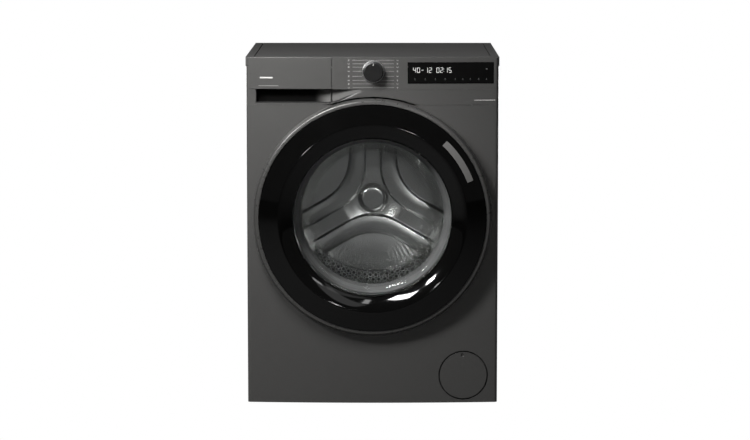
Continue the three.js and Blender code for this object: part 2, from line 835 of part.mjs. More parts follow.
/** What carries the tub: springs above, dampers below. */
function suspension() {
  class Helix extends THREE.Curve {
    getPoint(t, target = new THREE.Vector3()) {
      const a = t * SPRING.turns * 2 * Math.PI;
      const height = SPRING.z1 - SPRING.z0;
      return target.set(SPRING.coil * Math.cos(a), SPRING.coil * Math.sin(a), SPRING.z0 + t * height);
    }
  }
  const round = new THREE.Shape();
  round.absarc(0, 0, SPRING.wire, 0, 2 * Math.PI);
  for (const [name, s] of SIDES) {
    const coil = new THREE.ExtrudeGeometry(round, {
      steps: SPRING.turns * 9,
      curveSegments: 2,
      extrudePath: new Helix(),
    });
    place(cabinet, `suspension_spring_${name}`, solid(coil), steel).position.set(s * SPRING.x, SPRING.y, 0);

    const barrel = cut(
      join(rodZ(DAMPER.r, 40, 168), box(-14, 14, -14, 14, LIFT + 4 + GAP, 46)),
      rodZ(DAMPER.r - 5, 70, 170),
    );
    place(cabinet, `damper_cylinder_${name}`, barrel, mattBlack).position.set(s * DAMPER.x, DAMPER.y, 0);

    const top = AXIS_Z - 196 - GAP;
    const piston = rodZ(DAMPER.r - 6, 118, 140);
    const rod = join(rodZ(DAMPER.rod, 130, top, 0, 0, 12), piston, rodZ(10, top - 10, top));
    place(cabinet, `damper_rod_${name}`, rod, steel).position.set(s * DAMPER.x, DAMPER.y, 0);
  }
}

// ---------------------------------------------------------------- water
/** A pleated hose between two heights. */
function bellows(x, y, z0, z1, inner, outer, pleats) {
  const step = (z1 - z0) / pleats;
  const wall = 2.4;
  const outside = [[inner, z0]];
  for (let i = 0; i < pleats; i++) outside.push([outer, z0 + step * (i + 0.5)], [inner, z0 + step * (i + 1)]);
  const inside = outside.map(([r, z]) => [r - wall, z]).reverse();
  return turnedUpright([...outside, ...inside], x, y, 12);
}

function water() {
  place(cabinet, "dispenser_hose", bellows(-190, HOSE_Y, 666, 762, 17, 22, 4), darkRubber);
  place(cabinet, "sump_hose", bellows(140, 100, 126, 232, 19, 24, 4), darkRubber);

  const { x, z } = FILTER;
  const pump = cut(
    join(
      rodY(38, 16, 118, x, z, 32),
      rodY(30, 117, 164, x, z, SMALL),
      box(130, x, 86, 114, z - 16, z + 14),
      rodZ(19, z - 16, 124, 140, 100),
      rodZ(10, z, 150, x + 14, 100, 16),
      box(x - 30, x + 18, 30, 110, LIFT + 4 + GAP, z - 20),
    ),
    rodY(33, 10, 66, x, z, 32),
  );
  place(cabinet, "drain_pump", pump, whitePlastic);

  const plug = join(rodY(32, 14, 60, x, z, 32), box(x - 4, x + 4, 2, 16, z - 26, z + 26));
  place(cabinet, "filter_plug", plug, mattBlack);

  const plate = bowedPlate(x - 60, x + 60, z - 60, z + 60, 0.1, PLASTIC);
  const cover = plate.intersect(rodY(FILTER.r - 0.4, -20, 10, x, z, 40));
  place(cabinet, "filter_cover", cover, satinPlastic);
}

sidePanels();
rear();
frame();
feet();
frontPanel();
controlPanel();
drawer();
door();
hinge();
latchPieces();
gasket();
tub();
counterweights();
drive();
drum();
suspension();
water();

export default machine;
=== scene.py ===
"""Looks of a front load washing machine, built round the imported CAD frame.

Shapes are written in millimetres, as x, depth and z. Depth runs back from the worktop's front corners, which
stand at y = FRONT_Y in the frame. The door and the drum share the axis at x = 0, z = AXIS_Z. Objects are kept
in metres, in the frame's own axes.
"""

import math

import bmesh
import bpy
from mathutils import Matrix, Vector


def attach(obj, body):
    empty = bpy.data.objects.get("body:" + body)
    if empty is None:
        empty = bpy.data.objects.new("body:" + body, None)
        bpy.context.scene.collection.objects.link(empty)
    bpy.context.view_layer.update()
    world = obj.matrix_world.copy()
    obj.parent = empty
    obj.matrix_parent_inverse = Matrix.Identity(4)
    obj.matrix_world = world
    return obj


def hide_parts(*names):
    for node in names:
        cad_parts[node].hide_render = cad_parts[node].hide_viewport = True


MM = 0.001
FRONT_Y = -248.0
AXIS_Z = 470.0

# The front: its half width, how far its middle stands out, its corners, and the depth where its sides end.
HALF = 298.5
BOW = 12.0
CORNER = 8.0
RETURN = 22.0

# Heights of the lower edges of the front panel, the band and the fascia, and of the fascia's top.
LIFT = 22.0
SPLIT_Z = 737.0
BAND_Z = 774.0
FASCIA_TOP = 848.5

# Seams at the drawer's right and left, and the arc that the control panel's lower edge follows over the door.
DRAWER_SEAM_X = -96.0
CHEEK_X = -295.5
ARCH_R = 286.5

# Radii of the front panel's opening, the door's grey ring, its black rim, the rim's lip and the window.
MOUTH_R = 206.0
RING_R = 283.0
COVER_R = 269.4
LIP_R = 224.0
WINDOW_R = 186.5

# Depth of the window, how far the lip stands out, the rim's rise towards it, and the funnel from there to the
# window, as radii with the slope at each in degrees.
WINDOW_Y = 22.0
DOOR_REACH = 52.0
RIM_SLOPE = 0.32
FUNNEL = ((LIP_R, 5.0), (213.0, 26.0), (190.5, 42.0), (187.5, 80.0))

# Round pieces, as centre x, centre z and radius.
KNOB = (2.0, 816.0, 24.0)
FILTER = (217.0, 88.0, 58.0)

# Openings, as left, right, bottom and top, with how deep the display's pane and the drawer's grip are set in.
DISPLAY = (83.0, 287.0, 787.0, 838.0)
PANE_SET = 0.25
RECESS = (-274.5, -14.0, 742.0, 773.4)
RECESS_DEPTH = 22.0

# The drum: its radius, the depth of its back, its hub's radius, half a trough's width, how far a petal's band
# reaches from the trough's middle, and how far the lifters' feet are from the axis.
DRUM_R = 240.0
DRUM_BACK_Y = 379.0
HUB_R = 33.0
TROUGH_HALF = 19.5
LEAF_BORDER = 58.0
LIFTER_FOOT = 233.2

scene = bpy.context.scene
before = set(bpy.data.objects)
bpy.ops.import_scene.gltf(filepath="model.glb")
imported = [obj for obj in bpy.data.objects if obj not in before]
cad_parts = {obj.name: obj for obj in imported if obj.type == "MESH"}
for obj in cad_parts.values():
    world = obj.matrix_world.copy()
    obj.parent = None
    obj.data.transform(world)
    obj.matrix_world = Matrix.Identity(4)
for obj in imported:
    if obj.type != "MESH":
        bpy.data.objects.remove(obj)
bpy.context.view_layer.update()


# ------------ camera, light and floor
def stand(obj, place, aim):
    """Puts a camera or a lamp at a place, facing a point."""
    scene.collection.objects.link(obj)
    obj.location = place
    obj.rotation_mode = "QUATERNION"
    obj.rotation_quaternion = (Vector(aim) - Vector(place)).to_track_quat("-Z", "Y")


def camera():
    """A long lens in front of the machine, looking slightly down."""
    data = bpy.data.cameras.new("camera")
    data.sensor_width = 36.0
    data.lens = 131.57
    data.clip_end = 60.0
    eye = bpy.data.objects.new("camera", data)
    stand(eye, (0.0219, -6.715, 1.2868), (0.006, -0.248, 0.4618))
    scene.camera = eye


def area_light(name, place, aim, width, height, power):
    """A rectangular softbox that faces a point."""
    data = bpy.data.lights.new(name, "AREA")
    data.shape = "RECTANGLE"
    data.size = width
    data.size_y = height
    data.energy = power
    stand(bpy.data.objects.new(name, data), place, aim)


def spot_light(name, place, aim, angle, power, radius):
    """A narrow soft beam, for the inside of the drum."""
    data = bpy.data.lights.new(name, "SPOT")
    data.spot_size = math.radians(angle)
    data.spot_blend = 0.2
    data.shadow_soft_size = radius
    data.energy = power
    stand(bpy.data.objects.new(name, data), place, aim)


def by_ray(tree, output, seen, cast):
    """Shows one shader to the camera and another to all other rays."""
    out = tree.nodes.new(output)
    mix = tree.nodes.new("ShaderNodeMixShader")
    path = tree.nodes.new("ShaderNodeLightPath")
    tree.links.new(path.outputs["Is Camera Ray"], mix.inputs["Fac"])
    tree.links.new(cast.outputs[0], mix.inputs[1])
    tree.links.new(seen.outputs[0], mix.inputs[2])
    tree.links.new(mix.outputs[0], out.inputs["Surface"])


def floor_material(cast):
    """White where the camera sees it, and darker where the object would mirror it."""
    mat = bpy.data.materials.new("floor_white")
    mat.use_nodes = True
    nodes = mat.node_tree.nodes
    nodes.clear()
    bright = nodes.new("ShaderNodeEmission")
    bright.inputs["Color"].default_value = (1.0, 1.0, 1.0, 1.0)
    bright.inputs["Strength"].default_value = 1.0
    plain = nodes.new("ShaderNodeBsdfDiffuse")
    plain.inputs["Color"].default_value = (cast, cast, cast, 1.0)
    by_ray(mat.node_tree, "ShaderNodeOutputMaterial", bright, plain)
    return mat


def ground():
    """A wide floor under the machine."""
    size = 22.0
    bm = bmesh.new()
    corners = [bm.verts.new((sx * size, sy * size, 0.0)) for sx, sy in ((-1, -1), (1, -1), (1, 1), (-1, 1))]
    bm.faces.new(corners)
    mesh = bpy.data.meshes.new("floor")
    bm.to_mesh(mesh)
    bm.free()
    floor = bpy.data.objects.new("floor", mesh)
    scene.collection.objects.link(floor)
    mesh.materials.append(floor_material(0.12))


def backdrop():
    """A world that the camera sees as white and that lights the machine only faintly."""
    world = bpy.data.worlds.new("studio")
    scene.world = world
    world.use_nodes = True
    nodes = world.node_tree.nodes
    nodes.clear()
    seen = nodes.new("ShaderNodeBackground")
    fill = nodes.new("ShaderNodeBackground")
    for shade, strength in ((seen, 1.0), (fill, 0.06)):
        shade.inputs["Color"].default_value = (1.0, 1.0, 1.0, 1.0)
        shade.inputs["Strength"].default_value = strength
    by_ray(world.node_tree, "ShaderNodeOutputWorld", seen, fill)


def funnel_line():
    """Points down the door's funnel from the rim's lip: radius, depth and slope."""
    line = [(LIP_R, -DOOR_REACH, math.radians(FUNNEL[0][1]))]
    steps = 16
    for (r0, slope0), (r1, slope1) in zip(FUNNEL, FUNNEL[1:]):
        for i in range(1, steps + 1):
            middle = math.radians(slope0 + (slope1 - slope0) * (i - 0.5) / steps)
            depth = line[-1][1] + math.tan(middle) * (r0 - r1) / steps
            slope = math.radians(slope0 + (slope1 - slope0) * i / steps)
            line.append((r0 + (r1 - r0) * i / steps, depth, slope))
    return line


def accent_place(turn, radius, far):
    """Where a light stands so that the door's funnel mirrors it, and the spot on the funnel that does.

    The spot is at a radius, and at a turn from the funnel's lowest point. The light is far metres from it.
    """
    r, depth, slope = min(funnel_line(), key=lambda point: abs(point[0] - radius))
    out = Vector((math.sin(turn), 0.0, -math.cos(turn)))
    spot = Vector((0.0, (FRONT_Y + depth) * MM, AXIS_Z * MM)) + out * r * MM
    normal = -out * math.sin(slope) - Vector((0.0, math.cos(slope), 0.0))
    view = (scene.camera.location - spot).normalized()
    way = 2 * normal.dot(view) * normal - view
    return spot + way * far, spot


def lights():
    """A key at the upper left, a dim canopy, accents on the funnel, fills behind, and beams into the drum."""
    area_light("key", (-2.4, -2.1, 2.5), (-0.1, -0.25, 0.85), 0.45, 0.45, 92.0)
    area_light("canopy", (0.9, -0.6, 2.5), (0.1, -0.3, 0.3), 1.3, 1.5, 3.0)
    accents = (
        ("accent_large", 21.0, 201.0, 0.24, 0.5, 1.5, 21.0),
        ("accent_small", -4.0, 199.6, 0.25, 0.8, 3.5, 3.5),
        ("accent_left", -41.0, 198.6, 0.25, 0.5, 3.5, 2.0),
        ("accent_haze", -24.0, 204.0, 2.0, 1.1, 3.5, 5.0),
    )
    for name, turn, radius, width, height, far, power in accents:
        place, aim = accent_place(math.radians(turn), radius, far)
        area_light(name, place, aim, width, height, power)
    for name, x in (("fill_right", 1.4), ("fill_left", -1.4)):
        area_light(name, (x, 2.8, 0.7), (0.0, 0.1, 0.5), 0.8, 0.8, 24.0)
    spot_light("drum_front", (0.75, -6.0, 1.5), (0.0, 0.0, 0.46), 4.8, 78.0, 0.12)
    spot_light("drum_left", (-1.7, -5.4, 1.5), (-0.02, -0.1, 0.48), 3.4, 170.0, 0.25)


# ------------ materials
class Shader:
    """A Principled material with short helpers for its texture nodes."""

    def __init__(self, name, color, roughness, metallic=0.0, **sockets):
        """More sockets are named with underscores for spaces, as in Coat_Weight."""
        self.mat = bpy.data.materials.new(name)
        self.mat.use_nodes = True
        self.nodes = self.mat.node_tree.nodes
        self.links = self.mat.node_tree.links
        self.bsdf = self.nodes["Principled BSDF"]
        self.set("Base Color", (*color, 1.0))
        self.set("Roughness", roughness)
        self.set("Metallic", metallic)
        for socket, value in sockets.items():
            self.set(socket.replace("_", " "), value)

    def set(self, socket, value):
        """Sets a constant on one of the shader's sockets."""
        self.bsdf.inputs[socket].default_value = value

    def coords(self, scale=(1.0, 1.0, 1.0)):
        """The object's own coordinates, stretched by a scale."""
        place = self.nodes.new("ShaderNodeTexCoord")
        mapping = self.nodes.new("ShaderNodeMapping")
        mapping.inputs["Scale"].default_value = scale
        self.links.new(place.outputs["Object"], mapping.inputs["Vector"])
        return mapping.outputs["Vector"]

    def noise(self, vector, scale, detail=3.0, rough=0.55):
        """Cloudy noise from 0 to 1."""
        tex = self.nodes.new("ShaderNodeTexNoise")
        tex.inputs["Scale"].default_value = scale
        tex.inputs["Detail"].default_value = detail
        tex.inputs["Roughness"].default_value = rough
        self.links.new(vector, tex.inputs["Vector"])
        return tex.outputs["Fac"]

    def spread(self, value, low, high):
        """Maps the middle of a noise's range onto low to high."""
        span = self.nodes.new("ShaderNodeMapRange")
        span.inputs["From Min"].default_value = 0.3
        span.inputs["From Max"].default_value = 0.7
        span.inputs["To Min"].default_value = low
        span.inputs["To Max"].default_value = high
        self.links.new(value, span.inputs["Value"])
        return span.outputs["Result"]

    def colour(self, value, dark, light):
        """Lets the base colour run from dark to light with a value."""
        ramp = self.nodes.new("ShaderNodeValToRGB")
        ramp.color_ramp.elements[0].position = 0.3
        ramp.color_ramp.elements[0].color = (*dark, 1.0)
        ramp.color_ramp.elements[1].position = 0.7
        ramp.color_ramp.elements[1].color = (*light, 1.0)
        self.links.new(value, ramp.inputs["Fac"])
        self.links.new(ramp.outputs["Color"], self.bsdf.inputs["Base Color"])

    def rough(self, value, low, high):
        """Lets the roughness run from low to high with a value."""
        self.links.new(self.spread(value, low, high), self.bsdf.inputs["Roughness"])

    def bump(self, value, distance, strength=0.5):
        """Raises the surface where a value is high, by a distance in metres."""
        bump = self.nodes.new("ShaderNodeBump")
        bump.inputs["Strength"].default_value = strength
        bump.inputs["Distance"].default_value = distance
        self.links.new(value, bump.inputs["Height"])
        self.links.new(bump.outputs["Normal"], self.bsdf.inputs["Normal"])


def grey(level, warm=0.03):
    """A nearly neutral, slightly warm grey."""
    return (level * (1 + warm / 2), level, level * (1 - warm))


def metallic_paint(name, level, roughness):
    """Grey paint with a fine metallic fleck and a faint orange peel."""
    shader = Shader(name, grey(level), roughness, 0.55, Coat_Weight=0.12, Coat_Roughness=0.25)
    place = shader.coords()
    flake = shader.noise(place, 1400.0, 2.0, 0.7)
    shader.colour(flake, grey(level * 0.86), grey(level * 1.15))
    shader.rough(shader.noise(place, 90.0, 3.0), roughness - 0.04, roughness + 0.04)
    shader.bump(shader.noise(place, 520.0, 2.0), 0.00005, 0.35)
    return shader.mat


def grip_paint_and_shade(name, level, roughness):
    """The drawer grip's floor: black at its deep left end as painted shade of the recess, fading into pale
    paint between two x in metres.
    """
    painted_shade_until, paint_from = -0.138, -0.102
    shader = Shader(name, grey(level), roughness, Specular_IOR_Level=0.03)
    nodes, links = shader.nodes, shader.links
    place = nodes.new("ShaderNodeTexCoord")
    split = nodes.new("ShaderNodeSeparateXYZ")
    span = nodes.new("ShaderNodeMapRange")
    span.interpolation_type = "SMOOTHSTEP"
    span.inputs["From Min"].default_value = painted_shade_until
    span.inputs["From Max"].default_value = paint_from
    ramp = nodes.new("ShaderNodeValToRGB")
    # The ramp's black end is painted shade of the deep recess, not a colour of the part.
    ramp.color_ramp.elements[0].color = (*grey(0.003), 1.0)
    ramp.color_ramp.elements[1].color = (*grey(level), 1.0)
    links.new(place.outputs["Object"], split.inputs[0])
    links.new(split.outputs["X"], span.inputs["Value"])
    links.new(span.outputs["Result"], ramp.inputs["Fac"])
    links.new(ramp.outputs["Color"], shader.bsdf.inputs["Base Color"])
    shader.bump(shader.noise(shader.coords(), 520.0, 2.0), 0.00005, 0.35)
    return shader.mat


def gloss_black(name, roughness, level, shine):
    """Black acrylic with barely uneven polish."""
    shader = Shader(name, grey(level), roughness, 0.0, Specular_IOR_Level=shine)
    place = shader.coords()
    shader.rough(shader.noise(place, 14.0, 4.0), roughness, roughness * 1.5)
    shader.colour(shader.noise(place, 60.0, 2.0), grey(level * 0.9), grey(level * 1.2))
    return shader.mat


def moulded(name, color, roughness, grain=900.0, depth=0.00006):
    """Moulded plastic with a fine spark-eroded grain."""
    shader = Shader(name, color, roughness)
    place = shader.coords()
    broad = shader.noise(place, 25.0, 3.0)
    shader.colour(broad, tuple(c * 0.9 for c in color), tuple(min(1.0, c * 1.08) for c in color))
    fine = shader.noise(place, grain, 3.0)
    shader.rough(fine, roughness - 0.05, roughness + 0.06)
    shader.bump(fine, depth, 0.5)
    return shader.mat


def brushed(name, color, roughness, stretch=(1.0, 0.02, 1.0), scale=900.0, depth=1.0):
    """Metal with fine drawn lines along one direction. A depth below 1 makes them fainter."""
    shader = Shader(name, color, roughness, 1.0)
    lines = shader.noise(shader.coords(stretch), scale, 4.0, 0.7)
    dark = tuple(c * (1 - 0.15 * depth) for c in color)
    light = tuple(min(1.0, c * (1 + 0.1 * depth)) for c in color)
    shader.colour(lines, dark, light)
    shader.rough(lines, roughness - 0.06 * depth, roughness + 0.07 * depth)
    shader.bump(lines, 0.00003 * depth, 0.3)
    return shader.mat


def cast(name, color, roughness, metallic, grain):
    """A rough cast surface: aluminium or concrete."""
    shader = Shader(name, color, roughness, metallic)
    place = shader.coords()
    lumps = shader.noise(place, grain, 6.0, 0.65)
    shader.colour(lumps, tuple(c * 0.78 for c in color), tuple(min(1.0, c * 1.15) for c in color))
    shader.rough(lumps, roughness - 0.08, min(1.0, roughness + 0.08))
    shader.bump(lumps, 0.0006, 0.5)
    return shader.mat


def rubber(name, level):
    """Matt rubber with a light bloom."""
    roughness = 0.62
    shader = Shader(name, grey(level, 0.0), roughness, Sheen_Weight=0.15)
    place = shader.coords()
    bloom = shader.noise(place, 40.0, 5.0)
    shader.colour(bloom, grey(level * 0.8, 0.0), grey(level * 1.2, 0.0))
    shader.rough(bloom, roughness - 0.08, roughness + 0.08)
    shader.bump(shader.noise(place, 1200.0, 2.0), 0.00005, 0.4)
    return shader.mat


def window_glass(name):
    """Clear glass: it lets light straight through, darkens where it is seen edge on, and mirrors a little."""
    mat = bpy.data.materials.new(name)
    mat.use_nodes = True
    nodes, links = mat.node_tree.nodes, mat.node_tree.links
    nodes.clear()
    out = nodes.new("ShaderNodeOutputMaterial")
    mix = nodes.new("ShaderNodeMixShader")
    through = nodes.new("ShaderNodeBsdfTransparent")
    facing = nodes.new("ShaderNodeLayerWeight")
    facing.inputs["Blend"].default_value = 0.35
    tint = nodes.new("ShaderNodeValToRGB")
    tint.color_ramp.elements[0].position = 0.25
    tint.color_ramp.elements[0].color = (0.96, 0.965, 0.962, 1.0)
    tint.color_ramp.elements[1].color = (0.80, 0.81, 0.805, 1.0)
    mirror = nodes.new("ShaderNodeBsdfGlossy")
    mirror.inputs["Color"].default_value = (1.0, 1.0, 1.0, 1.0)
    mirror.inputs["Roughness"].default_value = 0.04
    edge = nodes.new("ShaderNodeFresnel")
    edge.inputs["IOR"].default_value = 1.4
    weak = nodes.new("ShaderNodeMath")
    weak.operation = "MULTIPLY"
    weak.inputs[1].default_value = 0.22
    links.new(facing.outputs["Facing"], tint.inputs["Fac"])
    links.new(tint.outputs["Color"], through.inputs["Color"])
    links.new(edge.outputs[0], weak.inputs[0])
    links.new(weak.outputs[0], mix.inputs["Fac"])
    links.new(through.outputs[0], mix.inputs[1])
    links.new(mirror.outputs[0], mix.inputs[2])
    links.new(mix.outputs[0], out.inputs["Surface"])
    return mat


def glow(name, color, strength):
    """A lit display segment."""
    return Shader(name, color, 0.4, Emission_Color=(*color, 1.0), Emission_Strength=strength).mat


# Each material's recipe: the function that makes it, and its values.
RECIPES = {
    "steel_paint": (metallic_paint, 0.098, 0.42),
    "panel_grey": (metallic_paint, 0.105, 0.38),
    "worktop_grey": (moulded, grey(0.045), 0.5, 700.0, 0.00012),
    # The grip's floor, with painted shade at its deep left end.
    "grip": (grip_paint_and_shade, 0.115, 0.6),
    "ring_grey": (metallic_paint, 0.082, 0.3),
    "rim_black": (gloss_black, 0.05, 0.001, 0.5),
    "display_black": (gloss_black, 0.12, 0.003, 0.42),
    "matt_black": (moulded, grey(0.012), 0.55),
    "knob_black": (cast, grey(0.006), 0.36, 0.0, 900.0),
    "steel": (brushed, (0.52, 0.52, 0.51), 0.32),
    "chrome": (brushed, (0.75, 0.75, 0.75), 0.3, (1.0, 1.0, 1.0), 400.0),
    "drum_steel": (brushed, (0.60, 0.605, 0.60), 0.24, (1.0, 0.05, 1.0), 500.0, 0.35),
    "cast_alloy": (cast, (0.42, 0.43, 0.44), 0.5, 1.0, 260.0),
    "window_glass": (window_glass,),
    "grey_rubber": (rubber, 0.10),
    "black_rubber": (rubber, 0.018),
    "tub_plastic": (moulded, (0.42, 0.42, 0.40), 0.5),
    "concrete": (cast, (0.30, 0.29, 0.27), 0.9, 0.0, 90.0),
    "white_plastic": (moulded, (0.68, 0.68, 0.66), 0.38),
    "circuit_board": (moulded, (0.02, 0.11, 0.045), 0.4),
    "print_light": (moulded, grey(0.5), 0.5),
    "print_dim": (moulded, grey(0.36), 0.5),
    "badge": (metallic_paint, 0.19, 0.45),
    "digits": (glow, (0.5, 0.51, 0.5), 0.45),
    "digits_dim": (glow, (0.05, 0.05, 0.05), 0.5),
    "zinc": (brushed, (0.60, 0.58, 0.52), 0.3),
}
MATS = {name: make(name, *values) for name, (make, *values) in RECIPES.items()}

# The CAD nodes that stay in view, by material.
NODE_LOOKS = {
    "steel_paint": ("side_panel_left", "side_panel_right", "rear_panel", "rear_access_cover"),
    "matt_black": (
        "base_tray", "drawer_handle_recess", "door_inner_frame", "door_handle",
        "damper_cylinder_left", "damper_cylinder_right", "filter_plug",
    ),
    "steel": (
        "top_brace", "hinge_bracket", "hinge_leaf", "latch_hook", "damper_rod_left", "damper_rod_right",
        "drum_bearing", "heater", "motor_pulley", "suspension_spring_left", "suspension_spring_right",
    ),
    "cast_alloy": ("drum_spider", "drum_pulley", "motor_housing"),
    "black_rubber": (
        "cable_gland", "dispenser_hose", "sump_hose", "drive_belt",
        "foot_front_left", "foot_front_right", "foot_rear_left", "foot_rear_right",
    ),
    "tub_plastic": ("tub_front", "tub_rear", "drawer_housing"),
    "concrete": ("counterweight_front", "counterweight_top"),
    "white_plastic": ("drawer_tray", "water_inlet_valve", "program_selector", "door_lock", "drain_pump"),
    "circuit_board": ("control_board",),
}


def paint_nodes():
    """Gives every CAD node that stays in view its material."""
    for look, names in NODE_LOOKS.items():
        for name in names:
            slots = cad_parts[name].data.materials
            slots.clear()
            slots.append(MATS[look])


# ------------ mesh building
def at(x, y, z):
    """A point in millimetres, as x, depth and z, in the frame's metres."""
    return Vector((x * MM, (y + FRONT_Y) * MM, z * MM))


def closed_object(name, verts, faces):
    """An object with a closed mesh whose normals point outward."""
    mesh = bpy.data.meshes.new(name)
    mesh.from_pydata([at(*v) for v in verts], [], faces)
    bm = bmesh.new()
    bm.from_mesh(mesh)
    bmesh.ops.remove_doubles(bm, verts=bm.verts, dist=1e-6)
    bmesh.ops.dissolve_degenerate(bm, edges=bm.edges, dist=1e-7)
    bmesh.ops.recalc_face_normals(bm, faces=bm.faces)
    if bm.calc_volume(signed=True) < 0:
        bmesh.ops.reverse_faces(bm, faces=bm.faces)
    bm.to_mesh(mesh)
    bm.free()
    obj = bpy.data.objects.new(name, mesh)
    scene.collection.objects.link(obj)
    return obj


def piece(name, verts, faces, look, body, slot, replaced=(), angle=32.0, bevel=0.0):
    """A visible piece that rides on a body."""
    obj = closed_object(name, verts, faces)
    obj.data.materials.append(MATS[look])
    smooth(obj.data, angle)
    if bevel:
        rim = obj.modifiers.new("bevel", "BEVEL")
        rim.width = bevel * MM
        rim.segments = 2
        rim.limit_method = "ANGLE"
        rim.angle_limit = math.radians(40.0)
    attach(obj, body)
    if replaced:
        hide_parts(*replaced)
    return obj


def panel(name, mesh, look, body="cabinet", replaced=(), angle=12.0, bevel=0.0):
    """A visible piece, on the cabinet unless another body is given."""
    return piece(name, *mesh, look, body, "panel_plastic", replaced, angle, bevel)


def drum_piece(name, mesh, replaced=(), angle=40.0):
    """A steel piece that turns with the drum."""
    piece(name, *mesh, "drum_steel", "drum", "drum_steel", replaced, angle)


def smooth(mesh, angle):
    """Smooth shading, broken at edges sharper than an angle in degrees."""
    mesh.polygons.foreach_set("use_smooth", [True] * len(mesh.polygons))
    mesh.set_sharp_from_angle(angle=math.radians(angle))


def box_mesh(x0, x1, y0, y1, z0, z1):
    """A box between two x, two depths and two z."""
    verts = [(x, y, z) for z in (z0, z1) for y in (y0, y1) for x in (x0, x1)]
    faces = [(0, 1, 3, 2), (4, 6, 7, 5), (0, 4, 5, 1), (2, 3, 7, 6), (0, 2, 6, 4), (1, 5, 7, 3)]
    return verts, faces


def merged(*meshes):
    """Several vertex and face lists as one."""
    verts, faces = [], []
    for more_verts, more_faces in meshes:
        base = len(verts)
        verts += more_verts
        faces += [tuple(i + base for i in face) for face in more_faces]
    return verts, faces


def rounded(points, steps=4, closed=True):
    """A polygon with its corners turned into arcs. Each point's third value is its corner's radius."""
    made = []
    count = len(points)
    for i, point in enumerate(points):
        p, r = Vector(point[:2]), point[2]
        if not closed and i in (0, count - 1) or r == 0:
            made.append(tuple(p))
            continue
        before = Vector(points[i - 1][:2]) - p
        after = Vector(points[(i + 1) % count][:2]) - p
        turn = before.angle(after)
        reach = min(r / math.tan(turn / 2), 0.48 * before.length, 0.48 * after.length)
        a, b = p + before.normalized() * reach, p + after.normalized() * reach
        for k in range(steps + 1):
            t = k / steps
            made.append(tuple(a * (1 - t) ** 2 + p * 2 * t * (1 - t) + b * t**2))
    return made


def turned(profile, sides=128, centre=(0.0, AXIS_Z), start=0.0, sweep=2 * math.pi):
    """A [radius, depth] profile swept about the depth axis, with flat ends if it doesn't go all round."""
    whole = abs(sweep - 2 * math.pi) < 1e-6
    rings = sides if whole else sides + 1
    count = len(profile)
    verts = []
    for i in range(rings):
        a = start + sweep * i / sides
        verts += [(centre[0] + r * math.cos(a), y, centre[1] + r * math.sin(a)) for r, y in profile]
    faces = []
    for i in range(sides):
        j = (i + 1) % rings
        for k in range(count):
            m = (k + 1) % count
            faces.append((i * count + k, i * count + m, j * count + m, j * count + k))
    if not whole:
        faces.append(tuple(range(count)))
        faces.append(tuple((rings - 1) * count + k for k in reversed(range(count))))
    return verts, faces


def bow(x):
    """Depth of the front's face at x: it stands out most in the middle."""
    return -BOW * (1 - (x / HALF) ** 2)


def front_line(x0, x1, step=6.0):
    """The front's plan line from x0 to x1, as points and outward normals, with its corners and returns."""
    start = HALF - CORNER
    line = []
    low, high = max(x0, -start), min(x1, start)
    count = max(2, round((high - low) / step))
    for i in range(count + 1):
        x = low + (high - low) * i / count
        slope = 2 * BOW * x / HALF**2
        size = math.hypot(slope, 1)
        line.append((x, bow(x), slope / size, -1 / size))
    for side, reach in ((1, x1), (-1, -x0)):
        wrap = []
        if reach > start:
            for k in range(1, 9):
                a = math.radians(90.0 * k / 8)
                x = start + CORNER * math.sin(a)
                if x <= reach:
                    y = bow(start) + CORNER * (1 - math.cos(a))
                    wrap.append((side * x, y, side * math.sin(a), -math.cos(a)))
            if reach >= HALF:
                wrap.append((side * HALF, RETURN, side, 0.0))
        line = line + wrap if side == 1 else wrap[::-1] + line
    return line


def sheet(columns, thickness):
    """A closed sheet from columns of front points. A column holds its normal's x and y, then its points."""
    rows = len(columns[0][2])
    verts = [p for _, _, points in columns for p in points]
    verts += [(x - nx * thickness, y - ny * thickness, z) for nx, ny, points in columns for x, y, z in points]
    half = len(columns) * rows
    faces = []
    for i in range(len(columns) - 1):
        for k in range(rows - 1):
            a, b, c, d = i * rows + k, (i + 1) * rows + k, (i + 1) * rows + k + 1, i * rows + k + 1
            faces += [(a, b, c, d), (a + half, d + half, c + half, b + half)]
    last = (len(columns) - 1) * rows
    for k in range(rows - 1):
        faces.append((k, k + 1, k + 1 + half, k + half))
        faces.append((last + k, last + k + half, last + k + 1 + half, last + k + 1))
    for i in range(len(columns) - 1):
        a, b = i * rows, (i + 1) * rows
        faces.append((a, a + half, b + half, b))
        a, b = a + rows - 1, b + rows - 1
        faces.append((a, b, b + half, a + half))
    return verts, faces


def bowed_sheet(x0, x1, z0, z1, thickness, proud=0.0):
    """A sheet on the front's bow, moved out by proud."""
    columns = []
    for x, y, nx, ny in front_line(x0, x1):
        columns.append((nx, ny, [(x + nx * proud, y + ny * proud, z) for z in (z0, z1)]))
    return sheet(columns, thickness)


def cutter(verts, faces):
    """A throwaway object for a boolean cut."""
    return closed_object("cutter", verts, faces)


def carve(obj, tools, operation="DIFFERENCE", angle=32.0):
    """Cuts an object's mesh with the tools and removes them."""
    for tool in tools:
        step = obj.modifiers.new("cut", "BOOLEAN")
        step.operation = operation
        step.solver = "EXACT"
        step.object = tool
    bevels = [m for m in obj.modifiers if m.type == "BEVEL"]
    for m in bevels:
        m.show_viewport = False
    bpy.context.view_layer.update()
    done = bpy.data.meshes.new_from_object(obj.evaluated_get(bpy.context.evaluated_depsgraph_get()))
    old = obj.data
    for m in [m for m in obj.modifiers if m.type == "BOOLEAN"]:
        obj.modifiers.remove(m)
    obj.data = done
    done.name = old.name
    bpy.data.meshes.remove(old)
    for m in bevels:
        m.show_viewport = True
    for tool in tools:
        data = tool.data
        bpy.data.objects.remove(tool)
        bpy.data.meshes.remove(data)
    smooth(done, angle)


def round_cutter(radius, y0, y1, centre, sides=128):
    """A solid cylinder along the depth, to cut with."""
    return cutter(*turned([(0.0, y0), (radius, y0), (radius, y1), (0.0, y1)], sides, centre))


